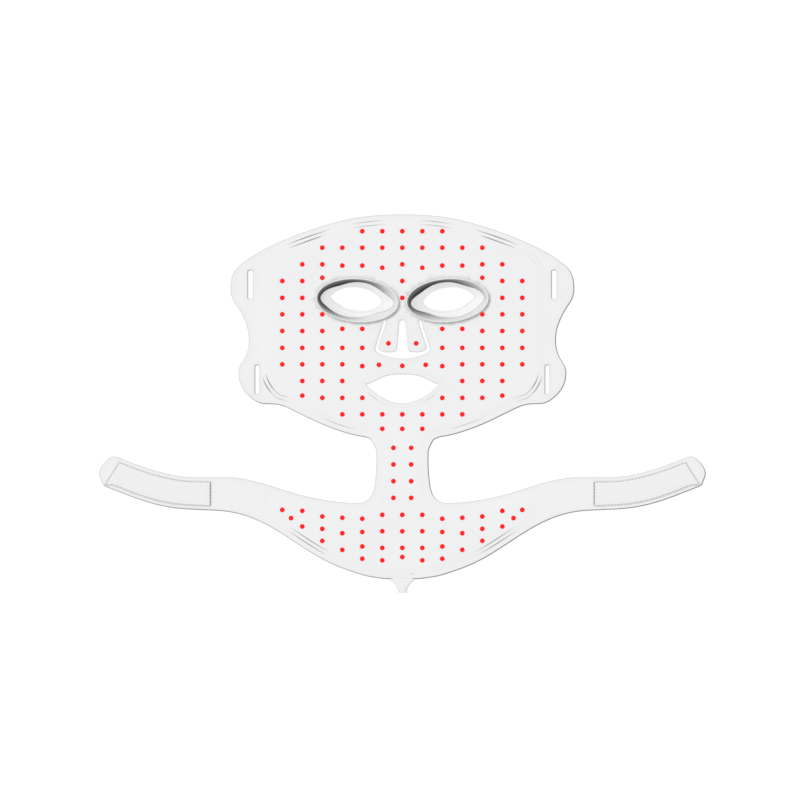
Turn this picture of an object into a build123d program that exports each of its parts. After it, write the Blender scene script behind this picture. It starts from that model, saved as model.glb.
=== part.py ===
"""LED face mask with a neck collar, laid flat with its skin side up. Millimetres.

X runs across the face, Y toward the forehead and Z out of the skin side. The
soft sheet is a back cover with a skin liner bonded over it; a populated flex
circuit lies between the two, and a clear window stands over every LED.
Narrow webs of the same sheet are the folds between the pieces.
"""

from build123d import *
import os

os.makedirs("parts", exist_ok=True)

# Levels of the layers, from the ground up
COVER_TOP = 1.6
BOARD_TOP = 1.9
CHIP_TOP = 2.7
POCKET_TOP = 3.2
FLANGE_TOP = 4.6
FIELD_TOP = 5.0

# LED stations
WINDOW_RADIUS = 1.85
WINDOW_HOLE_RADIUS = 1.95
POCKET_RADIUS = 2.4
CHIP_SIZE = (3.5, 2.8)

# Distances in from the outline
FIELD_INSET = 6.4
BOARD_INSET = 9.0

# Folds: where each web starts and ends
CHEEK_WEB = (83, 93)
CHIN_WEB = (-46.2, -38.3)
THROAT_WEB = (-72.9, -65)
COLLAR_WEB = (52, 60)
ARM_WEB = (106, 116)
TAB_WEB = (140, 150)
NOSE_WEB = (61, 66.4)
COLLAR_TOP = -40

# Eye gasket: radii of its oval seat, of the rim's foot and of its thin top edge
EYE = (36, 82.5)
EYE_TILT = 4
SEAT_RADII = (33, 17.6)
RIM_FOOT_RADII = (34, 18.8)
RIM_RADII = (32.6, 17.2)
RIM_EDGE = 1.0
LIP_TOP = 3.0
RIM_TOP = 11.5

# Boot where the lead comes in, and the hook-and-loop patches
BOOT_TOP = 5.6
BOOT_BORE_RADIUS = 1.9
BOOT_BORE_DEPTH = 8.0
PATCH_MARGIN = 3.0
PATCH_THICKNESS = 1.0

# Right half of the outline, clockwise from the forehead: points, then the
# directions in which each curve starts and ends. Neighbouring curves meet with
# a hardly visible turn of a degree or so, which keeps them separate edges.
FACE_CURVES = [
    (
        [(0, 151.4), (40, 148.2), (79, 137.1), (112, 122.7), (130.2, 110.7), (137.7, 91)],
        (1, 0),
        (0, -1),
    ),
    ([(137.7, 91), (130.6, 74.7), (125, 62.7), (123, 49.5)], (-0.03, -1), (0, -1)),
    ([(123, 49.5), (127.2, 35), (131.3, 24.5)], (0.03, -1), (0, -1)),
    ([(131.3, 24.5), (127.5, 11), (118.5, 2.2), (104, -0.8)], (-0.03, -1), (-1, 0)),
    ([(104, -0.8), (88.6, -5.3), (63.4, -17.3), (44, -24.2), (32, -26.8)], (-1, -0.03), (-1, -0.15)),
    ([(32, -26.8), (25, -29.8), (22.3, -35), (21, -49)], (-1, -0.18), (0, -1)),
    ([(21, -49), (22.4, -65), (25, -73.5), (29.5, -78), (38, -79.6)], (0.03, -1), (1, 0)),
    (
        [(38, -79.6), (60.6, -77.3), (86.2, -71.7), (111.8, -63.7), (128, -60), (146, -58.9)],
        (1, 0.03),
        (1, 0),
    ),
]
TAB_CURVES = [
    ([(146, -58.9), (170, -58.8), (190, -55.6), (209, -50), (226.5, -43.2)], (1, 0.03), (1, 0.4)),
    (
        [(226.5, -43.2), (232, -42.4), (240, -49), (242.8, -57), (240.2, -64), (232, -68.9)],
        (1, 0.36),
        (-1, -0.38),
    ),
    (
        [(232, -68.9), (217.4, -74.6), (198.2, -80.8), (179, -84.3), (160, -85.4), (146, -86.1)],
        (-1, -0.38),
        (-1, -0.05),
    ),
]
CHIN_CURVES = [
    (
        [
            (146, -86.1), (124.6, -90.4), (99, -102.9), (73.4, -119.4), (54.2, -129.6),
            (35, -136.6), (13, -140.7),
        ],
        (-1, -0.08),
        (-1, -0.12),
    ),
]

# Almond outlines about the middle of the right eye, nose side at -X. The opening
# has a pointed corner at each end, its first and its sixth point.
EYE_OPENING = [
    (21.7, 2.7), (13, 8.9), (2.8, 10.4), (-7.4, 8.6), (-15.1, 4.2),
    (-19.4, -1.4), (-12.6, -7), (-2.3, -8.2), (7.8, -6.5), (15.5, -2.4),
]
EYE_RIM_FOOT = [
    (28.9, 3.6), (25.7, 7.3), (15.5, 11.1), (0.2, 14.4), (-12.5, 11.4), (-22.7, 4.5),
    (-28.9, -3.2), (-27.8, -5.2), (-17.6, -9.5), (-7.4, -12.8), (0.2, -13.6),
    (10.4, -12.6), (18.1, -9.5), (24.2, -4.9),
]

# LEDs as one of a mirrored pair, or on the middle line where X is 0
FACE_LEDS = [
    (0, 137.7), (16, 137.7), (32, 137.7),
    (0, 124.5), (16, 124.5), (32, 124.5), (48, 124.5), (64, 124.5),
    (0, 111.2), (16, 108.5), (32, 110.2), (48, 110.2), (64, 111.2), (80, 111.2),
    (64, 100.5), (0, 97.9), (80, 97.9), (0, 84.4), (80, 84.4),
    (64, 71.2), (80, 71.2), (32, 59.6), (48, 59.6), (64, 57.9), (80, 57.9),
    (32, 44.4), (48, 44.4), (64, 44.4), (80, 44.4),
    (0, 30), (18.7, 30.8), (32, 29.8), (48, 31.2), (64, 31.2), (80, 31.2),
    (48, 17.9), (64, 17.9), (80, 17.9), (32, 4.4), (48, 4.4), (64, 4.4), (80, 6.2),
    (0, -8.8), (16, -8.8), (32, -8.8), (48, -8.8), (0, -20.4), (16, -20.4), (7.1, -35.6),
]
CHEEK_LEDS = [(96, 97.9), (96, 84.4), (96, 71.2), (96, 57.9), (96, 44.4), (96, 31.2)]
NOSE_LED = (11.1, 48)
BRIDGE_LEDS = [(7.1, -48.9), (7.1, -62.3)]
COLLAR_LEDS = [
    (7.1, -75.6), (0, -89.2), (16, -89.2), (32, -92.3), (48, -91.5),
    (0, -102.3), (16, -102.3), (32, -102.9), (48, -103.9),
    (0, -115.6), (16, -115.6), (32, -114.5), (48, -117.2),
    (0, -122.9), (16, -125.6), (32, -124.3),
]
COLLAR_SIDE_LEDS = [
    (96, -85.2), (80, -86), (64, -90.5), (89, -91.8), (80, -98.5), (64, -100.4), (64, -110),
]


def both_sides(stations):
    """The stations with their mirror images."""
    return stations + [(-x, y) for x, y in stations if x > 0]


def set_in(curve, distance):
    """Points of a clockwise curve moved toward the sheet's inside."""
    points, start, end = curve
    whole = Spline(*points, tangents=(start, end), mode=Mode.PRIVATE)
    moved = []
    for step in range(9):
        place = whole @ (step / 8)
        heading = whole % (step / 8)
        moved.append((place.X + distance * heading.Y, place.Y - distance * heading.X))
    return moved, start, end


def outline_sketch(distance, curves):
    """Closed outline at a distance in from the edge of the sheet."""
    with BuildSketch() as outline:
        with BuildLine():
            last = None
            for curve in curves:
                points, start, end = set_in(curve, distance) if distance else curve
                if last and abs(last[1] - points[0][1]) < 1:
                    points = [last] + list(points[1:])
                elif last:
                    Line(last, points[0])
                Spline(*points, tangents=(start, end))
                last = points[-1]
            Line(last, (0, last[1]))
            mirror(about=Plane.YZ)
        make_face()
    return outline.sketch


SHEET = outline_sketch(0, FACE_CURVES + TAB_CURVES + CHIN_CURVES)

# Openings through the whole sheet, eye holes apart
with BuildSketch() as mouth:
    with BuildLine():
        upper_lip = [(29.2, 15), (16, 20.8), (0, 23.1), (-16, 20.8), (-29.2, 15)]
        Spline(*upper_lip, tangents=((-1, 0.25), (-1, -0.25)))
        lower_lip = [(-29.2, 15), (-17, 5.6), (0, 0.3), (17, 5.6), (29.2, 15)]
        Spline(*lower_lip, tangents=((0.75, -0.65), (0.75, 0.65)))
    make_face()

with BuildSketch() as nose:
    with BuildLine():
        Line((-15, NOSE_WEB[1]), (15, NOSE_WEB[1]))
        Spline((15, NOSE_WEB[1]), (18.6, 54), (22.4, 42.4), tangents=((0.2, -1), (0.35, -1)))
        nose_base = [(22.4, 42.4), (11, 37.4), (0, 36), (-11, 37.4), (-22.4, 42.4)]
        Spline(*nose_base, tangents=((-0.8, -0.5), (-0.8, 0.5)))
        Spline((-22.4, 42.4), (-18.6, 54), (-15, NOSE_WEB[1]), tangents=((0.35, 1), (0.2, 1)))
    make_face()

with BuildSketch() as strap_slots:
    with Locations((121.5, 95), (-121.5, 95)):
        RectangleRounded(3.5, 22.5, 1)
    with Locations((116, 19.1), (-116, 19.1)):
        RectangleRounded(3, 22.6, 1)

with BuildSketch() as eye_opening:
    with BuildLine():
        around_eye = [(EYE[0] + x, EYE[1] + y) for x, y in EYE_OPENING]
        Spline(*around_eye[:6])
        Spline(*around_eye[5:], around_eye[0])
    make_face()

with BuildSketch() as eye_openings:
    add(eye_opening.sketch)
    mirror(about=Plane.YZ)

with BuildSketch() as eye_seats:
    with Locations(EYE):
        Ellipse(*SEAT_RADII, rotation=EYE_TILT)
    mirror(about=Plane.YZ)

# Sheet areas: the back cover, the flat border of the liner and its raised field
with BuildSketch() as cover_area:
    add(SHEET)
    add(mouth.sketch, mode=Mode.SUBTRACT)
    add(nose.sketch, mode=Mode.SUBTRACT)
    add(strap_slots.sketch, mode=Mode.SUBTRACT)
    add(eye_openings.sketch, mode=Mode.SUBTRACT)

with BuildSketch() as border_area:
    add(SHEET)
    add(mouth.sketch, mode=Mode.SUBTRACT)
    add(nose.sketch, mode=Mode.SUBTRACT)
    add(strap_slots.sketch, mode=Mode.SUBTRACT)
    add(eye_seats.sketch, mode=Mode.SUBTRACT)

# The raised field stops short of the strap slots and of the two tabs
with BuildSketch() as field_limit:
    with BuildLine():
        Line((0, 170), (111, 170))
        Line((111, 170), (111, 28))
        Spline((111, 28), (105.5, 12), (92, 3), tangents=((0, -1), (-1, -0.15)))
        Line((92, 3), (92, -50))
        Line((92, -50), (105, -50))
        Line((105, -50), (105, -160))
        Line((105, -160), (0, -160))
        mirror(about=Plane.YZ)
    make_face()

with BuildSketch() as field_area:
    add(outline_sketch(FIELD_INSET, FACE_CURVES + CHIN_CURVES))
    add(field_limit.sketch, mode=Mode.INTERSECT)
    add(mouth.sketch, mode=Mode.SUBTRACT)
    add(nose.sketch, mode=Mode.SUBTRACT)
    add(eye_seats.sketch, mode=Mode.SUBTRACT)

# The flex circuit keeps a margin inside the outline and round the openings
with BuildSketch() as board_area:
    add(outline_sketch(BOARD_INSET, FACE_CURVES + CHIN_CURVES))
    Rectangle(204, 400, mode=Mode.INTERSECT)
    with Locations((0, 11.5)):
        Ellipse(32.5, 13.7, mode=Mode.SUBTRACT)
    with Locations(EYE):
        Ellipse(SEAT_RADII[0] + 0.6, SEAT_RADII[1] + 1, rotation=EYE_TILT, mode=Mode.SUBTRACT)
    with Locations((-EYE[0], EYE[1])):
        Ellipse(SEAT_RADII[0] + 0.6, SEAT_RADII[1] + 1, rotation=-EYE_TILT, mode=Mode.SUBTRACT)
    with BuildLine():
        Polyline((7.2, 70), (16.5, 68.2), (24.4, 41), (0, 33.6), (-24.4, 41), (-16.5, 68.2), (-7.2, 70))
        Polyline((-7.2, 70), (-7.2, NOSE_WEB[1]), (-3.6, NOSE_WEB[1]), (-3.6, 68.2), (3.6, 68.2))
        Polyline((3.6, 68.2), (3.6, NOSE_WEB[1]), (7.2, NOSE_WEB[1]), (7.2, 70))
    make_face(mode=Mode.SUBTRACT)


def strip(low_x, high_x, low_y, high_y):
    """Rectangle that picks one piece out of the sheet."""
    with BuildSketch() as window:
        with Locations(((low_x + high_x) / 2, (low_y + high_y) / 2)):
            Rectangle(high_x - low_x, high_y - low_y)
    return window.sketch


def make_cover(name, window):
    """Back cover of one piece."""
    with BuildPart() as cover:
        with BuildSketch():
            add(cover_area.sketch)
            add(window, mode=Mode.INTERSECT)
        extrude(amount=COVER_TOP)
    cover.part.label = name
    export_step(cover.part, f"parts/{name}.step")


def make_liner(name, window, stations):
    """Skin liner of one piece, with the recess of its circuit and a stepped hole for each LED."""
    with BuildPart() as liner:
        with BuildSketch(Plane.XY.offset(COVER_TOP)):
            add(border_area.sketch)
            add(window, mode=Mode.INTERSECT)
        extrude(amount=FLANGE_TOP - COVER_TOP)
        with BuildSketch(Plane.XY.offset(FLANGE_TOP)):
            add(field_area.sketch)
            add(window, mode=Mode.INTERSECT)
        extrude(amount=FIELD_TOP - FLANGE_TOP)
        with BuildSketch(Plane.XY.offset(COVER_TOP)):
            add(board_area.sketch)
            add(window, mode=Mode.INTERSECT)
        extrude(amount=BOARD_TOP - COVER_TOP, mode=Mode.SUBTRACT)
        with BuildSketch(Plane.XY.offset(BOARD_TOP)):
            with Locations(*stations):
                Circle(POCKET_RADIUS)
        extrude(amount=POCKET_TOP - BOARD_TOP, mode=Mode.SUBTRACT)
        with BuildSketch(Plane.XY.offset(POCKET_TOP)):
            with Locations(*stations):
                Circle(WINDOW_HOLE_RADIUS)
        extrude(amount=FIELD_TOP - POCKET_TOP, mode=Mode.SUBTRACT)
    liner.part.label = name
    export_step(liner.part, f"parts/{name}.step")


def make_board(name, window, stations):
    """Flex circuit of one piece with its LED chips soldered on."""
    with BuildPart() as circuit:
        with BuildSketch(Plane.XY.offset(COVER_TOP)):
            add(board_area.sketch)
            add(window, mode=Mode.INTERSECT)
        extrude(amount=BOARD_TOP - COVER_TOP)
        with BuildSketch(Plane.XY.offset(BOARD_TOP)):
            with Locations(*stations):
                Rectangle(*CHIP_SIZE)
        extrude(amount=CHIP_TOP - BOARD_TOP)
    circuit.part.label = name
    export_step(circuit.part, f"parts/{name}.step")


def make_windows(name, stations):
    """Clear windows of one piece, each standing on its LED chip."""
    with BuildPart() as windows:
        with BuildSketch(Plane.XY.offset(CHIP_TOP)):
            with Locations(*stations):
                Circle(WINDOW_RADIUS)
        extrude(amount=FIELD_TOP - CHIP_TOP)
    windows.part.label = name
    export_step(windows.part, f"parts/{name}.step")


def make_web(name, window):
    """Fold in the sheet: both silicone layers in one, with a channel for the circuit."""
    with BuildPart() as web:
        with BuildSketch():
            add(border_area.sketch)
            add(window, mode=Mode.INTERSECT)
        extrude(amount=FLANGE_TOP)
        with BuildSketch(Plane.XY.offset(FLANGE_TOP)):
            add(field_area.sketch)
            add(window, mode=Mode.INTERSECT)
        extrude(amount=FIELD_TOP - FLANGE_TOP)
        with BuildSketch(Plane.XY.offset(COVER_TOP)):
            add(board_area.sketch)
            add(window, mode=Mode.INTERSECT)
        extrude(amount=BOARD_TOP - COVER_TOP, mode=Mode.SUBTRACT)
    web.part.label = name
    export_step(web.part, f"parts/{name}.step")


def make_strip(name, window):
    """Plain length of the collar's arm, with both layers moulded as one."""
    with BuildPart() as arm:
        with BuildSketch():
            add(border_area.sketch)
            add(window, mode=Mode.INTERSECT)
        extrude(amount=FLANGE_TOP)
    arm.part.label = name
    export_step(arm.part, f"parts/{name}.step")


# Face, between the two cheek folds and above the chin fold
FACE = strip(-CHEEK_WEB[0], CHEEK_WEB[0], CHIN_WEB[1], 160)
make_cover("face_back_cover", FACE)
make_liner("face_skin_liner", FACE, both_sides(FACE_LEDS))
make_board("face_led_board", FACE, both_sides(FACE_LEDS))
make_windows("face_led_windows", both_sides(FACE_LEDS))

# Bridge under the chin, between its two folds
BRIDGE = strip(-30, 30, THROAT_WEB[1], CHIN_WEB[0])
make_web("chin_fold_web", strip(-30, 30, *CHIN_WEB))
make_cover("bridge_back_cover", BRIDGE)
make_liner("bridge_skin_liner", BRIDGE, both_sides(BRIDGE_LEDS))
BRIDGE_CIRCUIT = strip(-30, 30, THROAT_WEB[1], CHIN_WEB[1])
make_board("bridge_led_board", BRIDGE_CIRCUIT, both_sides(BRIDGE_LEDS))
make_windows("bridge_led_windows", both_sides(BRIDGE_LEDS))

# Middle of the collar, and the moulded boot at its lower edge
COLLAR = strip(-COLLAR_WEB[0], COLLAR_WEB[0], -160, THROAT_WEB[0])
make_web("throat_fold_web", strip(-30, 30, *THROAT_WEB))
make_cover("collar_back_cover", COLLAR)
make_liner("collar_skin_liner", COLLAR, both_sides(COLLAR_LEDS))
COLLAR_CIRCUIT = strip(-COLLAR_WEB[0], COLLAR_WEB[0], -160, THROAT_WEB[1])
make_board("collar_led_board", COLLAR_CIRCUIT, both_sides(COLLAR_LEDS))
make_windows("collar_led_windows", both_sides(COLLAR_LEDS))

with BuildPart() as cable_boot:
    with BuildSketch():
        with BuildLine():
            Line((0, -140.7), (13, -140.7))
            Spline((13, -140.7), (8.2, -145.3), (5, -149.3), (4, -151.4), tangents=((-1, -0.4), (-0.3, -1)))
            Line((4, -151.4), (0, -151.4))
            mirror(about=Plane.YZ)
        make_face()
    extrude(amount=BOOT_TOP)
    with BuildSketch(Plane((0, -151.4, BOOT_TOP / 2), x_dir=(1, 0, 0), z_dir=(0, -1, 0))):
        Circle(BOOT_BORE_RADIUS)
    extrude(amount=-BOOT_BORE_DEPTH, mode=Mode.SUBTRACT)
cable_boot.part.label = "cable_boot"
export_step(cable_boot.part, "parts/cable_boot.step")

# Pieces that come in pairs; left is the side of -X
for side, sign in (("right", 1), ("left", -1)):

    def span(first, second, low_y, high_y):
        """Strip on this side between two distances from the middle."""
        return strip(min(sign * first, sign * second), max(sign * first, sign * second), low_y, high_y)

    def here(stations):
        """The stations on this side."""
        return [(sign * x, y) for x, y in stations]

    # Cheek
    CHEEK = span(CHEEK_WEB[1], 150, COLLAR_TOP, 160)
    make_web(f"{side}_cheek_fold_web", span(*CHEEK_WEB, COLLAR_TOP, 160))
    make_cover(f"{side}_cheek_back_cover", CHEEK)
    make_liner(f"{side}_cheek_skin_liner", CHEEK, here(CHEEK_LEDS))
    make_board(f"{side}_cheek_led_board", span(CHEEK_WEB[0], 150, COLLAR_TOP, 160), here(CHEEK_LEDS))
    make_windows(f"{side}_cheek_led_windows", here(CHEEK_LEDS))

    # Side of the collar with LEDs, then the plain arm and the fastening tab
    FLANK = span(COLLAR_WEB[1], ARM_WEB[0], -160, COLLAR_TOP)
    make_web(f"{side}_collar_fold_web", span(*COLLAR_WEB, -160, COLLAR_TOP))
    make_cover(f"{side}_collar_back_cover", FLANK)
    make_liner(f"{side}_collar_skin_liner", FLANK, here(COLLAR_SIDE_LEDS))
    FLANK_BOARD = span(COLLAR_WEB[0], ARM_WEB[0], -160, COLLAR_TOP)
    make_board(f"{side}_collar_led_board", FLANK_BOARD, here(COLLAR_SIDE_LEDS))
    make_windows(f"{side}_collar_led_windows", here(COLLAR_SIDE_LEDS))
    make_strip(f"{side}_arm_fold_web", span(*ARM_WEB, -160, COLLAR_TOP))
    make_strip(f"{side}_arm", span(ARM_WEB[1], TAB_WEB[0], -160, COLLAR_TOP))
    make_strip(f"{side}_tab_fold_web", span(*TAB_WEB, -160, COLLAR_TOP))
    make_strip(f"{side}_tab", span(TAB_WEB[1], 250, -160, COLLAR_TOP))

    # Hook-and-loop patch stitched along the tab, cut off on a slant at its end
    top_edge, top_start, top_end = set_in(TAB_CURVES[0], PATCH_MARGIN)
    low_edge, low_start, low_end = set_in(TAB_CURVES[2], PATCH_MARGIN)
    with BuildSketch() as patch_outline:
        with BuildLine():
            Spline(*top_edge, tangents=(top_start, top_end))
            Line(top_edge[-1], (250, -40))
            Line((250, -40), (250, -66))
            Line((250, -66), low_edge[0])
            Spline(*low_edge, tangents=(low_start, low_end))
            Line(low_edge[-1], top_edge[0])
        make_face()
        with BuildLine():
            Polyline((153, -30), (216.6, -30), (260, -99.1), (153, -99.1), close=True)
        make_face(mode=Mode.INTERSECT)
        if sign < 0:
            mirror(about=Plane.YZ, mode=Mode.REPLACE)
    with BuildPart() as patch:
        with BuildSketch(Plane.XY.offset(FLANGE_TOP)):
            add(patch_outline.sketch)
        extrude(amount=PATCH_THICKNESS)
    patch.part.label = f"{side}_hook_and_loop_patch"
    export_step(patch.part, f"parts/{side}_hook_and_loop_patch.step")

    # Soft gasket round the eye: a flat lip seated in the liner, and a rim that rises
    # to a thin edge
    with BuildPart() as gasket:
        with BuildSketch(Plane.XY.offset(COVER_TOP)):
            with Locations(EYE):
                Ellipse(SEAT_RADII[0], SEAT_RADII[1], rotation=EYE_TILT)
        extrude(amount=FIELD_TOP - COVER_TOP)
        with BuildSketch(Plane.XY.offset(FIELD_TOP)):
            with Locations(EYE):
                Ellipse(*RIM_FOOT_RADII, rotation=EYE_TILT)
        with BuildSketch(Plane.XY.offset(RIM_TOP)):
            with Locations(EYE):
                Ellipse(*RIM_RADII, rotation=EYE_TILT)
        loft()
        with BuildSketch(Plane.XY.offset(LIP_TOP)):
            with BuildLine():
                Spline(*[(EYE[0] + x, EYE[1] + y) for x, y in EYE_RIM_FOOT], periodic=True)
            make_face()
        with BuildSketch(Plane.XY.offset(RIM_TOP)):
            with Locations(EYE):
                Ellipse(RIM_RADII[0] - RIM_EDGE, RIM_RADII[1] - RIM_EDGE, rotation=EYE_TILT)
        loft(mode=Mode.SUBTRACT)
        with BuildSketch(Plane.XY.offset(COVER_TOP)):
            add(eye_opening.sketch)
        extrude(amount=LIP_TOP - COVER_TOP, mode=Mode.SUBTRACT)
        if sign < 0:
            mirror(about=Plane.YZ, mode=Mode.REPLACE)
    gasket.part.label = f"{side}_eye_gasket"
    export_step(gasket.part, f"parts/{side}_eye_gasket.step")

    # Nose flap, hung from its own web, with one LED and a tail of circuit
    with BuildSketch() as flap_outline:
        with BuildLine():
            Line((2.3, NOSE_WEB[1]), (13, NOSE_WEB[1]))
            Spline((13, NOSE_WEB[1]), (16.6, 54), (20.2, 43.6), tangents=((0.2, -1), (0.35, -1)))
            Spline((20.2, 43.6), (14, 41), (4.6, 41), tangents=((-0.9, -0.5), (-1, 0)))
            Spline((4.6, 41), (3.2, 53), (2.3, NOSE_WEB[1]), tangents=((-0.15, 1), (-0.06, 1)))
        make_face()
        if sign < 0:
            mirror(about=Plane.YZ, mode=Mode.REPLACE)
    with BuildSketch() as tail_outline:
        with BuildLine():
            Polyline((3.6, NOSE_WEB[1]), (7.2, NOSE_WEB[1]), (13.4, 45.8), (8.2, 45.8), close=True)
        make_face()
        if sign < 0:
            mirror(about=Plane.YZ, mode=Mode.REPLACE)
    LED = here([NOSE_LED])
    with BuildPart() as nose_web:
        with BuildSketch():
            add(flap_outline.sketch)
            add(span(0, 30, *NOSE_WEB), mode=Mode.INTERSECT)
        extrude(amount=FIELD_TOP)
        with BuildSketch(Plane.XY.offset(COVER_TOP)):
            add(tail_outline.sketch)
            add(span(0, 30, *NOSE_WEB), mode=Mode.INTERSECT)
        extrude(amount=BOARD_TOP - COVER_TOP, mode=Mode.SUBTRACT)
    nose_web.part.label = f"{side}_nose_fold_web"
    export_step(nose_web.part, f"parts/{side}_nose_fold_web.step")

    with BuildPart() as nose_flap:
        with BuildSketch():
            add(flap_outline.sketch)
            add(span(0, 30, 30, NOSE_WEB[0]), mode=Mode.INTERSECT)
        extrude(amount=FIELD_TOP)
        with BuildSketch(Plane.XY.offset(COVER_TOP)):
            add(tail_outline.sketch)
        extrude(amount=BOARD_TOP - COVER_TOP, mode=Mode.SUBTRACT)
        with BuildSketch(Plane.XY.offset(BOARD_TOP)):
            with Locations(*LED):
                Circle(POCKET_RADIUS)
        extrude(amount=POCKET_TOP - BOARD_TOP, mode=Mode.SUBTRACT)
        with BuildSketch(Plane.XY.offset(POCKET_TOP)):
            with Locations(*LED):
                Circle(WINDOW_HOLE_RADIUS)
        extrude(amount=FIELD_TOP - POCKET_TOP, mode=Mode.SUBTRACT)
    nose_flap.part.label = f"{side}_nose_flap"
    export_step(nose_flap.part, f"parts/{side}_nose_flap.step")

    with BuildPart() as nose_board:
        with BuildSketch(Plane.XY.offset(COVER_TOP)):
            add(tail_outline.sketch)
        extrude(amount=BOARD_TOP - COVER_TOP)
        with BuildSketch(Plane.XY.offset(BOARD_TOP)):
            with Locations(*LED):
                Rectangle(*CHIP_SIZE)
        extrude(amount=CHIP_TOP - BOARD_TOP)
    nose_board.part.label = f"{side}_nose_led_board"
    export_step(nose_board.part, f"parts/{side}_nose_led_board.step")
    make_windows(f"{side}_nose_led_window", LED)
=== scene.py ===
"""Looks of the LED face mask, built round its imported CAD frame. Metres, laid flat with its skin side up.

The silicone is one continuous sheet, meshed from the outlines that the CAD faces
have, and split only where its folds are, so that every piece can follow its body.
"""

import math

import bmesh
import bpy
import numpy as np
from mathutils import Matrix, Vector
from mathutils.bvhtree import BVHTree
from mathutils.geometry import delaunay_2d_cdt
from mathutils.kdtree import KDTree


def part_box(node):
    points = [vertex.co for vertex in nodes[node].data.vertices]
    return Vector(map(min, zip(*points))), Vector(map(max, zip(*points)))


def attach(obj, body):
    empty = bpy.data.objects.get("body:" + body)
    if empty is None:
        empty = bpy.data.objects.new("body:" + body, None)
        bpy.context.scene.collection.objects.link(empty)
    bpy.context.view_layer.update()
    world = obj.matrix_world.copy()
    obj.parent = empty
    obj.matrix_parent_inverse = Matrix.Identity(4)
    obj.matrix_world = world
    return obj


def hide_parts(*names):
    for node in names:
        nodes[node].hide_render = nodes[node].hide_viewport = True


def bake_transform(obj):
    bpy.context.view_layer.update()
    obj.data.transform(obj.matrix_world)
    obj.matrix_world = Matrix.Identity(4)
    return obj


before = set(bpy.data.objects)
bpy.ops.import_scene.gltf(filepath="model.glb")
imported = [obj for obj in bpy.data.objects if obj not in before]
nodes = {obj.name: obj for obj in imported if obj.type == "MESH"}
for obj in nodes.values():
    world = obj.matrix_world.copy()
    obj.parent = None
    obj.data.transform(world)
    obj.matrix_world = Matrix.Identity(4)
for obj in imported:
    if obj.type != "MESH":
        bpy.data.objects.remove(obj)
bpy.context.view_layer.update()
MM = 0.001
MICRON = 1e-6

# Rounding of the sheet's edges, and of corners seen from above
TOP_ROUND = 0.8 * MM
BOTTOM_ROUND = 0.5 * MM
CORNER_ROUND = 1.1 * MM
NOSE_ROUND = 3.0 * MM
FIELD_ROUND = 16 * MM
SHARP_TURN = math.radians(50)
ROUND_STEPS = 5
FLAT_MARGIN = 0.25 * MM

# Spacing of points along outlines, along the field border, in folds and in the open
EDGE_STEP = 1.4 * MM
BORDER_STEP = 1.8 * MM
FOLD_STEP = 1.0 * MM
OPEN_STEP = 4.0 * MM

# Shoulder between the flat border and the raised field, with two fine grooves along it
SHOULDER = 4.2 * MM
GROOVE_PLACE = 1.6 * MM
GROOVE_WIDTH = 0.6 * MM
GROOVE_DEPTH = 0.02 * MM
CREASE_DEPTH = 0.40 * MM

# Ring round the mouth
LIP_LINE = 4.0 * MM
LIP_WIDTH = 0.6 * MM
LIP_DEPTH = 0.05 * MM

# LED lenses in their holes
HOLE_RADIUS = 1.95 * MM
HOLE_LIP = 0.14 * MM
HOLE_DEPTH = 0.10 * MM
LENS_RADIUS = 1.91 * MM
LENS_RISE = 0.22 * MM
LENS_SEGMENTS = 24

# Steps of an eye gasket's flat lip: distance out from its foot or from the opening, height, and a greyer tone
# that is painted shade in the dips and grooves
GASKET_BEAD = [(d * MM, h * MM, painted_groove_shade) for d, h, painted_groove_shade in (
    (0.35, -0.10, 1), (0.20, -0.10, 1), (0.08, 0.20, 0), (-0.25, 0.30, 0), (-0.50, 0.05, 0), (-0.80, 0, 0),
)]
GASKET_LIP = [(d * MM, h * MM, painted_groove_shade) for d, h, painted_groove_shade in (
    (2.1, 0, 0), (1.8, -0.08, 0.5), (1.55, -0.12, 0.6), (1.3, 0, 0),
    (0.5, 0, 0), (0.2, -0.08, 0.3), (0, -0.35, 0.6),
)]

# Half thickness of a gasket's crest, and the half axes of the gasket's seat, in mm
CREST_HALF = 0.35 * MM
SEAT_SHAPE = (33, 17.6)

# Places where the moulded border is creased and darkened with painted shade, and where the ring round the
# mouth has strokes of painted shade, in mm
# on the right half: middle, half length, slant and strength
CREASES = [
    (75.5, 133, 19, -0.42, 1.0), (27, 142.5, 14, -0.20, 0.55), (106, 116, 11, -1.0, 0.12),
    (105.8, 15.4, 9, 0.88, 1.0), (98.7, 6.2, 10, 0.62, 0.45), (52, -18.3, 16, 0.35, 0.45),
    (75, -110, 19, 0.61, 0.85),
]
LIP_STROKES = [(22, 5.5, 6, 0.75, 1.0)]

# Short dash of painted shade above the boot, where a moulded line would be, and its half axes in mm
MARK = (8 * MM, -136.5 * MM)
MARK_SHAPE = (2.2, 0.6)

# Fine line of painted shade just inside the outlines. Each tone is how dark a painted-shade line is
# everywhere, and how much darker where it faces away from the light or is creased.
EDGE_LINE = 0.45 * MM
EDGE_LINE_WIDTH = 0.6 * MM
EDGE_TONE = (0.18, 0.85)
GROOVE_TONE = (0.012, 0.9)
LIP_TONE = (0.05, 0.30)
MARK_TONE = 0.6

# Hook-and-loop patch: rounding of its edge, its seam, where its square end is, and how dark the painted shade
# along that end and its other edges is
PATCH_ROUND = 0.45 * MM
SEAM = 0.95 * MM
SEAM_DEPTH = 0.14 * MM
SQUARE_END = 160 * MM
SQUARE_END_TONE = 0.85
PATCH_EDGE_TONE = 0.22

# Where the key light comes from, and its way across the plane, which also sets the side that painted shade
# darkens
LIGHT_FROM = (-0.27, 0.23, 1)
LIGHT_WAY = np.array(LIGHT_FROM[:2]) / np.hypot(*LIGHT_FROM[:2])

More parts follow.
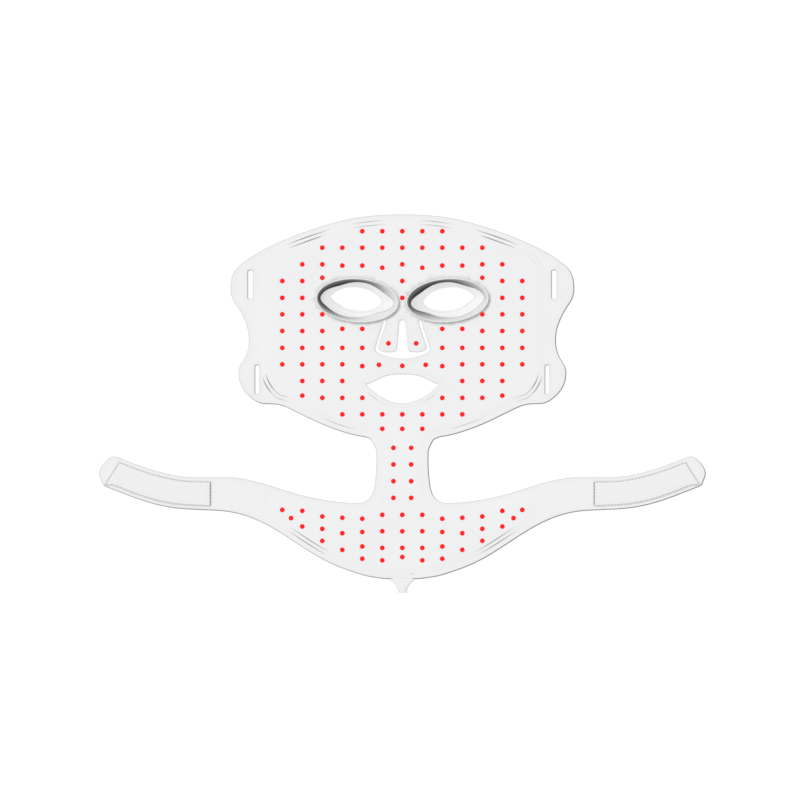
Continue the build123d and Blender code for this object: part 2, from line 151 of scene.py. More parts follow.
# Layers, read from the frame
GROUND = 0.0
COVER_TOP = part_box("face_back_cover")[1][2]
FIELD_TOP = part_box("face_skin_liner")[1][2]
BORDER_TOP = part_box("left_arm")[1][2]
CHIP_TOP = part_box("face_led_board")[1][2]

SIDES = (("left", -1), ("right", 1))

# Rigid stretches of the sheet: body, then the CAD nodes that the stretch stands for
STRETCHES = {
    "face": ("face_back_cover", "face_skin_liner"),
    "bridge": ("bridge_back_cover", "bridge_skin_liner"),
    "collar": ("collar_back_cover", "collar_skin_liner"),
}
# Folds: web, then the bodies it joins, the way from one to the other, and the circuit that crosses it
FOLDS = {
    "chin_fold_web": ("face", "bridge", (0, -1), "bridge_led_board"),
    "throat_fold_web": ("bridge", "collar", (0, -1), "collar_led_board"),
}
# LED windows: node and body
WINDOWS = {"face_led_windows": "face", "bridge_led_windows": "bridge", "collar_led_windows": "collar"}
for side, out in SIDES:
    STRETCHES[f"{side}_cheek"] = (f"{side}_cheek_back_cover", f"{side}_cheek_skin_liner")
    STRETCHES[f"{side}_collar_side"] = (f"{side}_collar_back_cover", f"{side}_collar_skin_liner")
    STRETCHES[f"{side}_arm"] = (f"{side}_arm",)
    STRETCHES[f"{side}_tab"] = (f"{side}_tab",)
    STRETCHES[f"{side}_nose_flap"] = (f"{side}_nose_flap",)
    FOLDS[f"{side}_cheek_fold_web"] = ("face", f"{side}_cheek", (out, 0), f"{side}_cheek_led_board")
    FOLDS[f"{side}_nose_fold_web"] = ("face", f"{side}_nose_flap", (0, -1), f"{side}_nose_led_board")
    FOLDS[f"{side}_collar_fold_web"] = ("collar", f"{side}_collar_side", (out, 0), f"{side}_collar_led_board")
    FOLDS[f"{side}_arm_fold_web"] = (f"{side}_collar_side", f"{side}_arm", (out, 0), None)
    FOLDS[f"{side}_tab_fold_web"] = (f"{side}_arm", f"{side}_tab", (out, 0), None)
    WINDOWS[f"{side}_cheek_led_windows"] = f"{side}_cheek"
    WINDOWS[f"{side}_collar_led_windows"] = f"{side}_collar_side"
    WINDOWS[f"{side}_nose_led_window"] = f"{side}_nose_flap"

# Straight cuts between the pieces, along both edges of every fold: axis, then its place in microns
CUTS = {
    (abs(way[1]), round(corner[abs(way[1])] / MICRON))
    for web, (_, _, way, _) in FOLDS.items()
    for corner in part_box(web)
}


# ---- Outlines in the plane ----


def level_faces(names, level):
    """Corners of the CAD faces that lie at one height, and the node of each."""
    faces = []
    owners = []
    for name in names:
        mesh = nodes[name].data
        for polygon in mesh.polygons:
            corners = [mesh.vertices[i].co for i in polygon.vertices]
            if all(abs(corner.z - level) < 1e-5 for corner in corners):
                faces.append([(corner.x, corner.y) for corner in corners])
                owners.append(name)
    return faces, owners


def boundary_chains(name, level):
    """Open and closed stretches of a node's boundary at a height, without the cuts along folds."""
    faces = level_faces([name], level)[0]
    turned = sum(signed_area(face) for face in faces) < 0
    sides = set()
    for face in faces:
        corners = [(round(x / MICRON), round(y / MICRON)) for x, y in face]
        corners = corners[::-1] if turned else corners
        sides |= {(a, b) for a, b in zip(corners, corners[1:] + corners[:1]) if a != b}
    following = {}
    for a, b in sorted(sides):
        on_cut = any(abs(a[axis] - cut) < 3 and abs(b[axis] - cut) < 3 for axis, cut in CUTS)
        if (b, a) not in sides and not on_cut:
            following.setdefault(a, []).append(b)
    arrivals = {b for ways in following.values() for b in ways}
    chains = []
    while following:
        starts = [a for a in following if a not in arrivals]
        at = min(starts or following)
        chain = [at]
        while at in following:
            ways = following[at]
            after = ways.pop()
            if not ways:
                del following[at]
            chain.append(after)
            at = after
        chains.append(np.array(chain) * MICRON)
    return chains


def boundary_loops(names, level):
    """Closed boundaries of nodes side by side at a height, faces on their left, the longest first."""
    chains = [chain for name in names for chain in boundary_chains(name, level)]
    loops = [chain[:-1] for chain in chains if np.linalg.norm(chain[0] - chain[-1]) < 3 * MICRON]
    chains = [chain for chain in chains if np.linalg.norm(chain[0] - chain[-1]) >= 3 * MICRON]
    pairs = [(np.linalg.norm(a[-1] - b[0]), i, j) for i, a in enumerate(chains) for j, b in enumerate(chains)]
    after = {}
    for _, i, j in sorted(pairs):
        if i not in after and j not in after.values():
            after[i] = j
    while after:
        at = min(after)
        parts = []
        while at in after:
            parts.append(chains[at])
            at = after.pop(at)
        loops.append(np.concatenate(parts))
    return sorted((loop for loop in loops if length_of(loop) > 2 * MM), key=length_of, reverse=True)


def signed_area(loop):
    """Area of a closed loop, positive where it runs anticlockwise."""
    loop = np.asarray(loop)
    ahead = np.roll(loop, -1, 0)
    return (loop[:, 0] * ahead[:, 1] - ahead[:, 0] * loop[:, 1]).sum() / 2


def length_of(loop):
    """Length of a closed loop."""
    return np.linalg.norm(np.roll(loop, -1, 0) - loop, axis=1).sum()


def smooth_loop(loop, step, fillet=CORNER_ROUND):
    """A finer loop as a smooth curve through the same points, with its sharp corners rounded off."""
    kept = [loop[0]]
    for point in loop[1:]:
        if np.linalg.norm(point - kept[-1]) > 0.15 * MM:
            kept.append(point)
    if np.linalg.norm(kept[0] - kept[-1]) < 0.15 * MM:
        kept.pop()
    points = np.array(kept)
    ahead = np.roll(points, -1, 0) - points
    gap = np.linalg.norm(ahead, axis=1)[:, None]
    slope = ahead / gap
    before = np.roll(slope, 1, 0)
    gap_before = np.roll(gap, 1, 0)
    tangent = (before * gap + slope * gap_before) / (gap + gap_before)
    sharp = np.arccos(np.clip((before * slope).sum(1), -1, 1)) > SHARP_TURN
    dense = []
    corners = []
    for i in range(len(points)):
        j = (i + 1) % len(points)
        reach = float(gap[i, 0])
        leave = slope[i] if sharp[i] or reach > 3 * gap[i - 1, 0] else tangent[i]
        arrive = slope[i] if sharp[j] or reach > 3 * gap[j, 0] else tangent[j]
        if sharp[i]:
            corners.append(len(dense))
        count = max(1, math.ceil(reach / step))
        for t in np.arange(count) * (1 / count):
            place = (2 * t**3 - 3 * t**2 + 1) * points[i] + (3 * t**2 - 2 * t**3) * points[j]
            dense.append(place + ((t**3 - 2 * t**2 + t) * leave + (t**3 - t**2) * arrive) * reach)
    return round_corners(np.array(dense), corners, fillet) if corners else np.array(dense)


def round_corners(loop, corners, fillet):
    """The loop with a curve in place of each corner, from a fillet's length before it to as much after it."""
    gaps = np.linalg.norm(np.roll(loop, -1, 0) - loop, axis=1)
    places = np.concatenate([[0], np.cumsum(gaps)])
    total = places[-1]
    closed = np.vstack([loop, loop[:1]])
    spans = {}
    for number, corner in enumerate(corners):
        since = (places[corner] - places[corners[number - 1]]) % total or total
        until = (places[corners[(number + 1) % len(corners)]] - places[corner]) % total or total
        spans[corner] = min(fillet, 0.45 * since, 0.45 * until)
    result = []
    for i, point in enumerate(loop):
        away = {c: min((places[i] - places[c]) % total, (places[c] - places[i]) % total) for c in spans}
        if i in spans:
            reach = spans[i]
            ends = [(places[i] + way * reach) % total for way in (-1, 1)]
            first, last = (np.array([np.interp(end, places, closed[:, k]) for k in (0, 1)]) for end in ends)
            for t in np.linspace(0, 1, max(5, round(reach / EDGE_STEP))):
                result.append((1 - t) ** 2 * first + 2 * t * (1 - t) * point + t * t * last)
        elif all(away[c] >= spans[c] for c in spans):
            result.append(point)
    return np.array(result)


def inset(loop, distance):
    """The loop moved to its left by a distance."""
    ahead = np.roll(loop, -1, 0) - loop
    ahead /= np.linalg.norm(ahead, axis=1)[:, None]
    left = np.stack([-ahead[:, 1], ahead[:, 0]], 1)
    middle = left + np.roll(left, 1, 0)
    middle /= np.linalg.norm(middle, axis=1)[:, None]
    reach = 1 / np.maximum((middle * left).sum(1), 0.7)
    return loop + middle * reach[:, None] * distance


def nearest_edge(points, loops):
    """For each point, how far off the nearest loop is, the way out of the sheet there, and its number."""
    tree = KDTree(sum(len(loop) for loop in loops))
    spots = []
    for number, loop in enumerate(loops):
        for i, spot in enumerate(loop):
            tree.insert((spot[0], spot[1], 0), len(spots))
            spots.append((loop[i - 1], spot, loop[(i + 1) % len(loop)], number))
    tree.balance()
    distance = np.empty(len(points))
    outward = np.empty((len(points), 2))
    numbers = np.empty(len(points), int)
    for i, point in enumerate(points):
        before, spot, after, number = spots[tree.find((point[0], point[1], 0))[1]]
        distance[i] = min(segment_distance(point, before, spot), segment_distance(point, spot, after))
        outward[i] = (after[1] - before[1], before[0] - after[0])
        numbers[i] = number
    return distance, outward / np.linalg.norm(outward, axis=1)[:, None], numbers


def segment_distance(point, a, b):
    """Distance from a point to a straight segment."""
    run_x, run_y = b[0] - a[0], b[1] - a[1]
    share = ((point[0] - a[0]) * run_x + (point[1] - a[1]) * run_y) / (run_x * run_x + run_y * run_y + 1e-18)
    share = min(1, max(0, share))
    return math.hypot(point[0] - a[0] - share * run_x, point[1] - a[1] - share * run_y)


def inside(points, loop):
    """Which points lie inside a closed loop."""
    odd = np.zeros(len(points), bool)
    x, y = points[:, 0], points[:, 1]
    for (x0, y0), (x1, y1) in zip(loop, np.roll(loop, -1, 0)):
        if y0 == y1:
            continue
        crosses = ((y0 > y) != (y1 > y)) & (x < (x1 - x0) * (y - y0) / (y1 - y0) + x0)
        odd ^= crosses
    return odd


def smoothstep(t):
    """0 below 0, 1 above 1 and a smooth rise between them."""
    t = np.clip(t, 0, 1)
    return t * t * (3 - 2 * t)


def dip(distance, width):
    """A smooth valley of depth 1 and the given half width."""
    return 1 - smoothstep(np.abs(distance) / width)


def rounding(edge, radius):
    """How far a rounded edge lies below the flat, by distance from the edge."""
    short = np.clip(radius - edge, 0, radius)
    return radius - np.sqrt(radius**2 - short**2)


def circle(centre, radius, segments=LENS_SEGMENTS):
    """Points of a circle."""
    turns = np.arange(segments) * 2 * math.pi / segments
    return np.array(centre) + radius * np.stack([np.cos(turns), np.sin(turns)], 1)


class Plan:
    """Triangles between closed outlines, with more lines as edges, and what lies on each side of them."""

    def __init__(self, outlines, loops=(), lines=(), singles=()):
        low = np.min([loop.min(0) for loop in outlines], 0) - 0.02
        high = np.max([loop.max(0) for loop in outlines], 0) + 0.02
        coords = [Vector(p) for p in (low, (high[0], low[1]), high, (low[0], high[1]))]
        edges = []
        for closed, group in ((True, outlines), (True, loops), (False, lines)):
            for line in group:
                first = len(coords)
                coords += [Vector(point) for point in line]
                edges += [(first + i, first + i + 1) for i in range(len(line) - 1)]
                if closed:
                    edges.append((len(coords) - 1, first))
            if group is outlines:
                outline_edges = len(edges)
        coords += [Vector(point) for point in singles]
        found = delaunay_2d_cdt(coords, edges, [], 0, 1e-7)
        self.points = np.array([point[:] for point in found[0]])
        borders = set()
        for (a, b), origin in zip(found[1], found[4]):
            if any(i < outline_edges for i in origin):
                borders |= {(a, b), (b, a)}
        self.triangles = keep_inside(found[2], borders, self.points)
        self.sides = {}
        for number, triangle in enumerate(self.triangles):
            for side in zip(triangle, triangle[1:] + triangle[:1]):
                self.sides[side] = number
        self.centres = np.array([self.points[list(t)].mean(0) for t in self.triangles])


def keep_inside(triangles, borders, points):
    """The triangles inside an odd number of borders, counted from the outermost triangle inwards."""
    triangles = [list(t) for t in triangles]
    owner = {}
    for number, t in enumerate(triangles):
        for side in zip(t, t[1:] + t[:1]):
            owner[side] = number
    first = next(i for i, t in enumerate(triangles) if 0 in t)
    state = {first: False}
    queue = [first]
    while queue:
        number = queue.pop()
        t = triangles[number]
        for a, b in zip(t, t[1:] + t[:1]):
            other = owner.get((b, a))
            if other is not None and other not in state:
                state[other] = state[number] ^ ((a, b) in borders)
                queue.append(other)
    return [t for i, t in enumerate(triangles) if state.get(i)]


def new_piece(name, vertices, faces, material, slot, **attributes):
    """A smooth mesh piece, its faces given by number of vertex, with a value per vertex for the material."""
    mesh = bpy.data.meshes.new(name)
    mesh.from_pydata([tuple(map(float, v)) for v in vertices], [], faces)
    mesh.validate()
    for key, values in attributes.items():
        layer = mesh.attributes.new(key, "FLOAT", "POINT")
        layer.data.foreach_set("value", np.array(values, np.float32))
    mesh.shade_smooth()
    mesh.materials.append(material)
    piece = bpy.data.objects.new(name, mesh)
    bpy.context.collection.objects.link(piece)
    return piece


def slab(name, plan, chosen, top, bottom, material, slot, holes=(), hole_floor=0, **attributes):
    """A slab over the chosen triangles of a plan, walled where the plan ends and open where it goes on."""
    chosen = set(chosen)
    holes = set(holes)
    used = sorted({i for number in chosen for i in plan.triangles[number]})
    upper = {i: k for k, i in enumerate(used)}
    count = len(used)
    vertices = [(*plan.points[i], top[i]) for i in used]
    vertices += [(*plan.points[i], bottom[i]) for i in used]
    values = {key: [v[i] for i in used] + [0] * count for key, v in attributes.items()}
    deep = {}
    faces = []
    for number in chosen:
        t = plan.triangles[number]
        faces.append([upper[i] + count for i in reversed(t)])
        for a, b in zip(t, t[1:] + t[:1]):
            if (b, a) not in plan.sides:
                faces.append([upper[a], upper[a] + count, upper[b] + count, upper[b]])
        if number in holes:
            continue
        faces.append([upper[i] for i in t])
        for a, b in zip(t, t[1:] + t[:1]):
            if plan.sides.get((b, a)) in holes:
                for i in (a, b):
                    if i not in deep:
                        deep[i] = len(vertices)
                        vertices.append((*plan.points[i], hole_floor))
                        for key in values:
                            values[key].append(0)
                faces.append([upper[a], deep[a], deep[b], upper[b]])
    loose = {i for f in faces for i in f}
    place = {i: k for k, i in enumerate(sorted(loose))}
    faces = [[place[i] for i in f] for f in faces]
    vertices = [vertices[i] for i in sorted(loose)]
    values = {key: [v[i] for i in sorted(loose)] for key, v in values.items()}
    return new_piece(name, vertices, faces, material, slot, **values)


# ---- Materials ----

# Greyer tone of handled edges, also painted shade in a gasket lip's dips; painted shade of creases and
# grooves; and painted shade of a gasket's wall turned away from the light
WEAR_AND_GROOVE_SHADE = (0.86, 0.86, 0.865)
# Painted shade in creases, grooves, along outlines and at patch edges
PAINTED_CREASE_SHADE = (0.035, 0.035, 0.038)
SHADE_TONE = (0.012, 0.012, 0.013)


class Shader:
    """A node material with one principled shader, and short calls to add to it."""

    def __init__(self, name, **sockets):
        self.material = bpy.data.materials.new(name)
        self.material.use_nodes = True
        self.tree = self.material.node_tree
        self.main = self.tree.nodes["Principled BSDF"]
        self.place = self.add("ShaderNodeTexCoord").outputs["Object"]
        for socket, value in sockets.items():
            self.main.inputs[socket.replace("_", " ")].default_value = value

    def add(self, kind, links=None, **settings):
        """A node; settings are its sockets by name or, where it has none, its own properties."""
        node = self.tree.nodes.new(kind)
        for key, value in settings.items():
            socket = key.replace("_", " ")
            if socket in node.inputs:
                node.inputs[socket].default_value = value
            else:
                setattr(node, key, value)
        for socket, source in (links or {}).items():
            self.tree.links.new(source, node.inputs[socket])
        return node

    def noise(self, scale, detail=2, roughness=0.5):
        """Noise over the object's own coordinates, scale in waves per metre."""
        links = {"Vector": self.place}
        node = self.add("ShaderNodeTexNoise", links, Scale=scale, Detail=detail, Roughness=roughness)
        return node.outputs["Fac"]

    def waves(self, scale, **settings):
        """Even bands over the object's own coordinates, scale in bands per metre."""
        return self.add("ShaderNodeTexWave", {"Vector": self.place}, Scale=scale, **settings).outputs["Fac"]

    def ramp(self, source, low, high, start=0.3, end=0.7):
        """Colours from low to high as the source goes from start to end."""
        node = self.add("ShaderNodeValToRGB", {"Fac": source})
        for element, place, colour in zip(node.color_ramp.elements, (start, end), (low, high)):
            element.position = place
            element.color = (*colour, 1)
        return node.outputs["Color"]

    def spread(self, source, low, high):
        """Numbers from low to high as the source goes from 0.3 to 0.7."""
        links = {"Value": source}
        node = self.add("ShaderNodeMapRange", links, From_Min=0.3, From_Max=0.7, To_Min=low, To_Max=high)
        return node.outputs["Result"]

    def attribute(self, name):
        """A value that the mesh carries on its vertices."""
        return self.add("ShaderNodeAttribute", attribute_name=name).outputs["Fac"]

    def mix(self, factor, first, second, blend="MIX"):
        """Two colours mixed by a factor."""
        node = self.add("ShaderNodeMix", data_type="RGBA", blend_type=blend)
        for socket, source in ((0, factor), (6, first), (7, second)):
            if isinstance(source, (int, float)):
                node.inputs[socket].default_value = source
            elif isinstance(source, tuple):
                node.inputs[socket].default_value = (*source, 1)
            else:
                self.tree.links.new(source, node.inputs[socket])
        return node.outputs[2]

    def bump(self, heights):
        """Bumps from pairs of a source and how high it stands in metres."""
        normal = None
        for source, height in heights:
            links = {"Height": source}
            if normal:
                links["Normal"] = normal
            normal = self.add("ShaderNodeBump", links, Distance=height, Strength=1.0).outputs["Normal"]
        self.tree.links.new(normal, self.main.inputs["Normal"])

    def feed(self, socket, source):
        """Links a source to one of the shader's sockets."""
        self.tree.links.new(source, self.main.inputs[socket])


def silicone_material():
    """Matt white silicone with a powdery touch, faintly greyer along handled edges, with painted shade in
    creases, grooves and along outlines.
    """
    shader = Shader("white_silicone", Specular_IOR_Level=0.35, Sheen_Weight=0.04, Sheen_Roughness=0.5)
    body = shader.ramp(shader.noise(14, 3), (0.770, 0.772, 0.778), (0.790, 0.791, 0.794))
    grain = shader.ramp(shader.noise(1500, 2), (0.975, 0.975, 0.975), (1, 1, 1))
    body = shader.mix(1.0, body, grain, "MULTIPLY")
    body = shader.mix(shader.attribute("edge"), body, shader.mix(1.0, body, WEAR_AND_GROOVE_SHADE, "MULTIPLY"))
    shader.feed("Base Color", shader.mix(shader.attribute("crease"), body, PAINTED_CREASE_SHADE))
    shader.feed("Roughness", shader.spread(shader.noise(700, 3), 0.46, 0.58))
    shader.bump([(shader.noise(45, 2), 0.00006), (shader.noise(2600, 3, 0.6), 0.000012)])
    return shader.material


def gasket_material():
    """Softer, slightly glossier silicone of the eye gaskets, with painted shade in the dips of its lip and on
    walls turned away from the light.
    """
    shader = Shader("gasket_silicone", Specular_IOR_Level=0.12)
    body = shader.ramp(shader.noise(60, 3), (0.795, 0.797, 0.800), (0.815, 0.816, 0.818))
    # On the gaskets the greyer edge tone is painted shade in the dips and grooves of the lip
    body = shader.mix(shader.attribute("edge"), body, shader.mix(1.0, body, WEAR_AND_GROOVE_SHADE, "MULTIPLY"))
    shader.feed("Base Color", shader.mix(shader.attribute("crease"), body, SHADE_TONE))
    shader.feed("Roughness", shader.spread(shader.noise(500, 3), 0.36, 0.46))
    shader.bump([(shader.noise(2200, 3, 0.6), 0.000008)])
    return shader.material


def lens_material():
    """Red LED seen through its clear window: an even glow, a little deeper at the rim."""
    shader = Shader("led_lens", Roughness=0.4, Specular_IOR_Level=0.06)
    radius = shader.attribute("rim")
    shader.feed("Base Color", shader.ramp(radius, (0.20, 0.004, 0.004), (0.12, 0.002, 0.002), 0.3, 1.0))
    shader.feed("Emission Color", shader.ramp(radius, (1.0, 0.022, 0.022), (1.0, 0.004, 0.005), 0.0, 0.6))
    shader.main.inputs["Emission Strength"].default_value = 0.95
    shader.bump([(shader.noise(1800, 2), 0.000006)])
    return shader.material


def circuit_material():
    """White solder mask over the copper of a flex circuit, with faint traces."""
    shader = Shader("flex_circuit", Specular_IOR_Level=0.5)
    traces = shader.waves(160, Distortion=1.5, Detail=1)
    body = shader.ramp(traces, (0.66, 0.67, 0.66), (0.74, 0.75, 0.74), 0.45, 0.55)
    shader.feed("Base Color", body)
    shader.feed("Roughness", shader.spread(shader.noise(900, 2), 0.30, 0.42))
    shader.bump([(traces, 0.00003)])
    return shader.material


def patch_material():
    """Off-white hook-and-loop fabric: rows of fine hooks on a woven base, with painted shade along its edges.
    """
    shader = Shader("hook_and_loop", Specular_IOR_Level=0.3, Sheen_Weight=0.15, Sheen_Roughness=0.4)
    rows = shader.waves(230, Distortion=0.6, Detail=1)
    across = shader.waves(190, Distortion=0.6, Detail=1, bands_direction="Y")
    hooks = shader.add("ShaderNodeMath", {0: rows, 1: across}, operation="MULTIPLY")
    fibres = shader.noise(3200, 3, 0.6)
    body = shader.ramp(hooks.outputs[0], (0.768, 0.768, 0.773), (0.792, 0.792, 0.795), 0.05, 0.75)
    shader.feed("Base Color", shader.mix(shader.attribute("crease"), body, PAINTED_CREASE_SHADE))
    shader.feed("Roughness", shader.spread(fibres, 0.62, 0.8))
    shader.bump([(hooks.outputs[0], 0.00004), (fibres, 0.000015)])
    return shader.material


def thread_material():
    """Grey-white sewing thread with its twist."""
    shader = Shader("sewing_thread", Sheen_Weight=0.2)
    twist = shader.waves(900, bands_direction="DIAGONAL")
    shader.feed("Base Color", shader.ramp(twist, (0.26, 0.26, 0.27), (0.40, 0.40, 0.41)))
    shader.feed("Roughness", shader.spread(shader.noise(2500, 2), 0.5, 0.7))
    shader.bump([(twist, 0.00004)])
    return shader.material


# ---- Sheet ----


def fold_span(web):
    """Where a fold starts and ends, as points on its two edges at its middle, and its half length."""
    low, high = (np.array(corner[:2]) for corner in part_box(web))
    way = np.array(FOLDS[web][2], float)
    middle = (low + high) / 2
    half = np.abs((high - low) @ np.abs(way)) / 2
    length = (high - low) @ (1 - np.abs(way)) / 2
    return middle - way * half, middle + way * half, length


def fold_lines(web):
    """Straight lines along a fold, from one edge of it to the other."""
    start, end, half = fold_span(web)
    along = np.array([(end - start)[1] != 0, (end - start)[0] != 0], float)
    steps = max(4, round(np.linalg.norm(end - start) / FOLD_STEP))
    lines = []
    for k in range(steps + 1):
        middle = start + (end - start) * k / steps
        cuts = max(2, round(2 * half / OPEN_STEP))
        lines.append([middle + along * (half + 0.8 * MM) * (2 * i / cuts - 1) for i in range(cuts + 1)])
    return lines


def led_centres(node):
    """Middle of each LED window of a node."""
    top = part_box(node)[1][2]
    return [loop.mean(0) for loop in boundary_loops([node], top)]


class Eye:
    """Outlines of one eye gasket by height, as distances from its middle at even angles."""

    COUNT = 144
    ANGLES = np.arange(COUNT) * 2 * math.pi / COUNT - math.pi

    def __init__(self, side):
        node = f"{side}_eye_gasket"
        self.node = node
        low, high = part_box(node)
        self.top = high[2]
        self.middle = np.array([(low[0] + high[0]) / 2, (low[1] + high[1]) / 2])
        heights = sorted({round(v.co.z, 5) for v in nodes[node].data.vertices})
        flat = (h for h in heights if h > low[2] + 1e-4 and len(level_faces([node], h)[0]) > 10)
        self.lip = min(flat)
        self.crest = self.polar(boundary_loops([node], self.top)[0])
        self.seat = self.polar(boundary_loops([node], FIELD_TOP)[1])
        self.rim_foot, self.opening = (self.polar(loop) for loop in boundary_loops([node], self.lip)[:2])

    def polar(self, loop):
        """Distance of a loop from the middle at even angles."""
        loop = smooth_loop(loop, 0.5 * MM)
        turn = np.arctan2(loop[:, 1] - self.middle[1], loop[:, 0] - self.middle[0])
        reach = np.linalg.norm(loop - self.middle, axis=1)
        order = np.argsort(turn)
        return np.interp(self.ANGLES, turn[order], reach[order], period=2 * math.pi)

    def ring(self, reach):
        """Points at given distances from the middle."""
        return self.middle + reach[:, None] * np.stack([np.cos(self.ANGLES), np.sin(self.ANGLES)], 1)


def sheet_pieces(material, centres, eyes):
    """The whole silicone sheet, one piece for each stretch and each fold."""
    owners = {names[0]: body for body, names in STRETCHES.items()}
    ground_nodes = [*owners, *FOLDS]
    faces, face_owner = level_faces(ground_nodes, GROUND)
    rough = boundary_loops(ground_nodes, GROUND)
    nose = next(loop for loop in rough[1:] if abs(loop[:, 0].mean()) < 3 * MM)
    fillets = [NOSE_ROUND if loop is nose else CORNER_ROUND for loop in rough]
    outlines = [smooth_loop(loop, EDGE_STEP, fillet) for loop, fillet in zip(rough, fillets)]
    middle_holes = [loop for loop in outlines[1:] if abs(loop[:, 0].mean()) < 3 * MM]
    mouth = min(middle_holes, key=lambda loop: loop[:, 1].mean())

    field_nodes = [name for name in nodes if name.endswith(("skin_liner", "fold_web")) and "nose" not in name]
    field = smooth_loop(boundary_loops(field_nodes, FIELD_TOP)[0], BORDER_STEP, FIELD_ROUND)

    turns = [math.pi / 2 * k / (ROUND_STEPS - 1) for k in range(1, ROUND_STEPS)]
    steps = [TOP_ROUND * (1 - math.cos(turn)) for turn in turns] + [TOP_ROUND + FLAT_MARGIN]
    loops = [inset(loop, step) for loop in outlines for step in steps]
    groove = [GROOVE_PLACE + GROOVE_WIDTH * share for share in (-1.5, -1, -0.5, 0, 0.5, 1, 1.5)]
    loops += [inset(field, sign * reach) for sign in (-1, 1) for reach in (*groove, 3.2 * MM, SHOULDER)]
    loops += [inset(mouth, LIP_LINE + LIP_WIDTH * k) for k in (-1.4, -1, -0.5, 0, 0.5, 1, 1.4)]
    for eye in eyes:
        loops += [eye.ring(eye.seat), eye.ring(eye.seat + 0.05 * MM)]
    loops += [np.array(MARK) + circle((0, 0), share * MM) * MARK_SHAPE for share in (0.3, 1)]
    hole_rings = HOLE_RADIUS, HOLE_RADIUS + HOLE_LIP, HOLE_RADIUS + HOLE_LIP + 0.12 * MM
    loops += [circle(centre, radius) for centre in centres for radius in hole_rings]
    lines = [line for web in FOLDS for line in fold_lines(web)]
    plan = Plan(outlines, loops, lines, open_points(outlines, loops))

    points = plan.points
    edge, outward, number_of_loop = nearest_edge(points, outlines)
    depth = nearest_edge(points, [field])[0] * np.where(inside(points, field), 1, -1)
    lip = nearest_edge(points, [mouth])[0]
    led_tree = KDTree(len(centres))
    for i, centre in enumerate(centres):
        led_tree.insert((*centre, 0), i)
    led_tree.balance()
    from_led = np.array([led_tree.find((x, y, 0))[2] for x, y in points])

    top = BORDER_TOP + (FIELD_TOP - BORDER_TOP) * smoothstep((depth / SHOULDER + 1) / 2)
    groove_line = dip(depth + GROOVE_PLACE, GROOVE_WIDTH) + dip(depth - GROOVE_PLACE, GROOVE_WIDTH)
    crease = spots_strength(points, CREASES)
    top = top - (GROOVE_DEPTH + CREASE_DEPTH * crease) * groove_line
    top = top - LIP_DEPTH * dip(lip - LIP_LINE, LIP_WIDTH)
    top = top - HOLE_DEPTH * (from_led < HOLE_RADIUS + 1e-5)
    for eye in eyes:
        away = points - eye.middle
        turn = np.arctan2(away[:, 1], away[:, 0])
        seat = np.interp(turn, eye.ANGLES, eye.seat, period=2 * math.pi)
        top = np.where(np.linalg.norm(away, axis=1) < seat + 0.02 * MM, COVER_TOP, top)
    top = top - rounding(edge, TOP_ROUND)
    bottom = GROUND + rounding(edge, BOTTOM_ROUND)

    # Tones: wear along handled edges; painted shade in a fine line along the outlines that is darker away
    # from the light, in the ring round the mouth, at the mark above the boot, and in the grooves
    handled = dip(edge, 3 * MM) * 0.3
    facing = -outward @ LIGHT_WAY
    weight = np.array([loop_weight(loop, outlines[0]) for loop in outlines])[number_of_loop]
    line_tone = EDGE_TONE[0] + EDGE_TONE[1] * smoothstep((facing + 0.3) / 1.3)
    shade = dip(edge - EDGE_LINE, EDGE_LINE_WIDTH) * weight * line_tone
    lip_tone = LIP_TONE[0] + LIP_TONE[1] * spots_strength(points, LIP_STROKES)
    shade = shade + lip_tone * dip(lip - LIP_LINE, LIP_WIDTH)
    from_mark = (points - MARK) / MARK_SHAPE
    shade = shade + MARK_TONE * dip(np.hypot(from_mark[:, 0], from_mark[:, 1]), 1 * MM)
    shade = shade + groove_line * (GROOVE_TONE[0] + GROOVE_TONE[1] * crease)
    wear_and_painted_shade = {"edge": handled, "crease": np.clip(shade, 0, 1)}

    tree = BVHTree.FromPolygons(*flat_polygons(faces))
    regions = {}
    holes = []
    for number, centre in enumerate(plan.centres):
        _, _, nearest, _ = tree.find_nearest((*centre, 0))
        regions.setdefault(face_owner[nearest], []).append(number)
        if led_tree.find((*centre, 0))[2] < HOLE_RADIUS * 0.98:
            holes.append(number)
    for node, chosen in regions.items():
        name = f"{owners[node]}_sheet" if node in owners else node.replace("_web", "_sheet")
        piece = slab(name, plan, chosen, top, bottom, material, "sheet_silicone", holes, CHIP_TOP, **wear_and_painted_shade)
        if node in owners:
            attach(piece, owners[node])
            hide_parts(*STRETCHES[owners[node]])
        else:
            bend(piece)
            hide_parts(node)


def spots_strength(points, spots):
    """Strength of the marks at each point, from mirrored spots of place, half length, slant and strength."""
    strength = np.zeros(len(points))
    for x, y, half, slant, most in spots:
        away_x = np.abs(points[:, 0]) - x * MM
        away_y = points[:, 1] - y * MM
        along = away_x * math.cos(slant) + away_y * math.sin(slant)
        across = away_y * math.cos(slant) - away_x * math.sin(slant)
        here = dip(along, half * MM) ** 0.5 * (np.abs(across) < 4 * MM) * (points[:, 1] * y > 0)
        strength = np.maximum(strength, most * here)
    return strength


def loop_weight(loop, outer):
    """How dark the painted shade along an outline's edge is: most at the outer rim, less in the strap slots
    and openings.
    """
    if loop is outer:
        return 1.0
    return 0.6 if length_of(loop) < 60 * MM else 0.12


